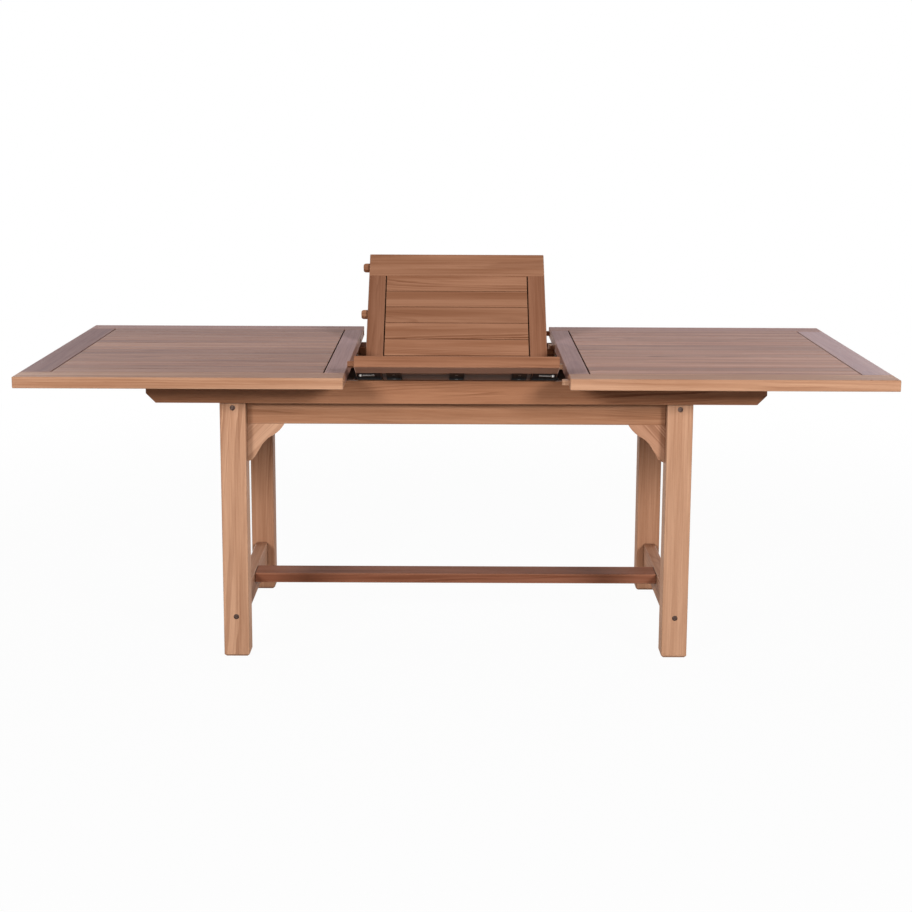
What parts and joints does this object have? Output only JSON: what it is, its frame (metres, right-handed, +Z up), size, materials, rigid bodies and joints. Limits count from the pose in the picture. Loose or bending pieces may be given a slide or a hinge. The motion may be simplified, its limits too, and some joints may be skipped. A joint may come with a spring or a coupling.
{
  "type": "extending table",
  "caption": "Slatted wooden extending table on square legs, its half tops pulled apart and a butterfly leaf half unfolded in the gap.",
  "frame": {"origin": "on the floor under the middle of the table", "axes": "+X along the table's length, -Y towards the front, +Z up"},
  "size_m": [2.15, 1, 0.975],
  "materials": {
    "teak": "oiled",
    "dark_wood": "stained",
    "black_steel": "satin",
    "bright_steel": "brushed"
  },
  "bodies": {
    "base": {"apron_front": "teak", "apron_rear": "teak", "bearer_left": "teak", "bearer_right": "teak", "bracket_front_left": "teak", "bracket_front_right": "teak", "bracket_rear_left": "teak", "bracket_rear_right": "teak", "end_rail_left": "teak", "end_rail_right": "teak", "leg_bolts": "black_steel", "leg_front_left": "teak", "leg_front_right": "teak", "leg_rear_left": "teak", "leg_rear_right": "teak", "long_stretcher": "teak", "pivot_plate_left": "black_steel", "pivot_plate_right": "black_steel", "runner_front": "teak", "runner_rear": "teak", "side_stretcher_left": "teak", "side_stretcher_right": "teak"},
    "left_top": {"left_battens": "teak", "left_front_rail": "teak", "left_inner_stile": "teak", "left_latch_post": "bright_steel", "left_outer_stile": "teak", "left_rear_rail": "teak", "left_slats": "teak", "left_slide_bars": "teak"},
    "right_top": {"right_battens": "teak", "right_front_rail": "teak", "right_inner_stile": "teak", "right_latch_post": "bright_steel", "right_outer_stile": "teak", "right_rear_rail": "teak", "right_slats": "teak", "right_slide_bars": "teak", "right_tongues": "teak"},
    "leaf_rear": {"leaf_ear_left": "black_steel", "leaf_ear_right": "black_steel", "leaf_rear_battens": "dark_wood", "leaf_rear_hinge_rail": "teak", "leaf_rear_hinges": "bright_steel", "leaf_rear_left_stile": "teak", "leaf_rear_outer_rail": "teak", "leaf_rear_right_stile": "teak", "leaf_rear_slats": "teak", "leaf_rear_tongues": "teak"},
    "leaf_front": {"latch_screws": "bright_steel", "leaf_front_battens": "dark_wood", "leaf_front_hinge_rail": "teak", "leaf_front_hinges": "bright_steel", "leaf_front_left_stile": "teak", "leaf_front_outer_rail": "teak", "leaf_front_right_stile": "teak", "leaf_front_slats": "teak", "leaf_front_tongues": "teak"},
    "left_hook": {"latch_hook_left": "bright_steel"},
    "right_hook": {"latch_hook_right": "bright_steel"}
  },
  "joints": [
    {"name": "left_top_slide", "type": "slide", "parent": "base", "child": "left_top", "axis": [-1, 0, 0], "range_m": [-0.024, 0]},
    {"name": "right_top_slide", "type": "slide", "parent": "base", "child": "right_top", "axis": [1, 0, 0], "range_m": [-0.024, 0]},
    {"name": "leaf_pivot", "type": "hinge", "parent": "base", "child": "leaf_rear", "pos_m": [0, 0.14, 0.695], "axis": [1, 0, 0], "range_deg": [-41.8, 82.89]},
    {"name": "leaf_fold", "type": "hinge", "parent": "leaf_rear", "child": "leaf_front", "pos_m": [0, -0.00143, 0.64313], "axis": [1, 0, 0], "range_deg": [-119.71, 60.39]},
    {"name": "left_hook_swing", "type": "hinge", "parent": "leaf_front", "child": "left_hook", "pos_m": [-0.238, -0.38581, 0.73925], "axis": [0, 0.318, 0.9481], "range_deg": [-180, 0]},
    {"name": "right_hook_swing", "type": "hinge", "parent": "leaf_front", "child": "right_hook", "pos_m": [0.238, -0.38581, 0.73925], "axis": [0, -0.318, -0.9481], "range_deg": [-180, 0]}
  ],
  "couplings": [
    {"joint": "leaf_fold", "follows": "leaf_pivot", "ratio": -1.4436}
  ]
}
